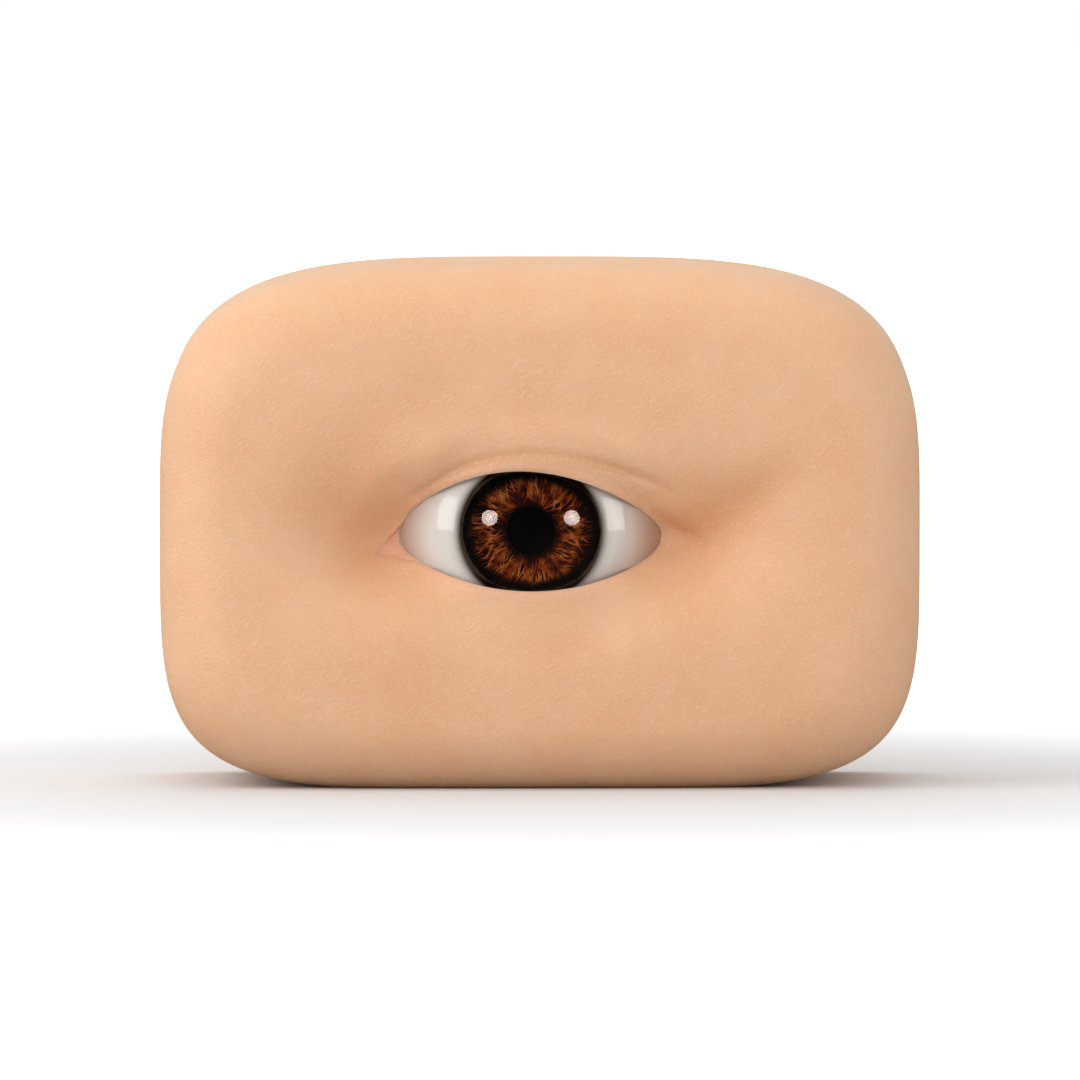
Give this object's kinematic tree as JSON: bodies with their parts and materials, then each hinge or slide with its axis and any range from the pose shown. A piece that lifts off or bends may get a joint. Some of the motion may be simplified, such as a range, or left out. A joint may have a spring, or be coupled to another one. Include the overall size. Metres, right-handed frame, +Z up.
{
  "type": "practice eye model",
  "caption": "Skin-coloured silicone pad with a life-size open eye: an acrylic eyeball with a clear cornea turns in a socket that a rear plug closes.",
  "frame": {"origin": "on the flat lower edge that the pad stands on, below the middle of the block's width and depth", "axes": "+X along the pad's length towards the outer corner of the eye, +Y from the face to the back, +Z up"},
  "size_m": [0.0782, 0.0358, 0.0536],
  "materials": {
    "skin_silicone": "matt cast silicone, skin-coloured",
    "plug_silicone": "matt cast silicone, skin-coloured",
    "white_acrylic": "polished warm white acrylic",
    "black_plastic": "smooth black plastic",
    "iris_paint": "painted brown, in fine radial fibres",
    "clear_acrylic": "polished clear acrylic"
  },
  "bodies": {
    "pad": {"skin_pad": "skin_silicone"},
    "plug": {"rear_plug": "plug_silicone"},
    "eyeball": {"sclera_front": "white_acrylic", "sclera_back": "white_acrylic", "iris_cup": "black_plastic", "iris_disc": "iris_paint", "pupil_disc": "black_plastic", "cornea": "clear_acrylic"}
  },
  "joints": [
    {"name": "plug_slide", "type": "slide", "parent": "pad", "child": "plug", "axis": [0, 1, 0], "range_m": [0, 0.034]},
    {"name": "gaze_yaw", "type": "hinge", "parent": "plug", "child": "eyeball", "pos_m": [-0.00095, -0.00208, 0.0264], "axis": [0, 0, 1], "range_deg": [-20, 20]}
  ]
}
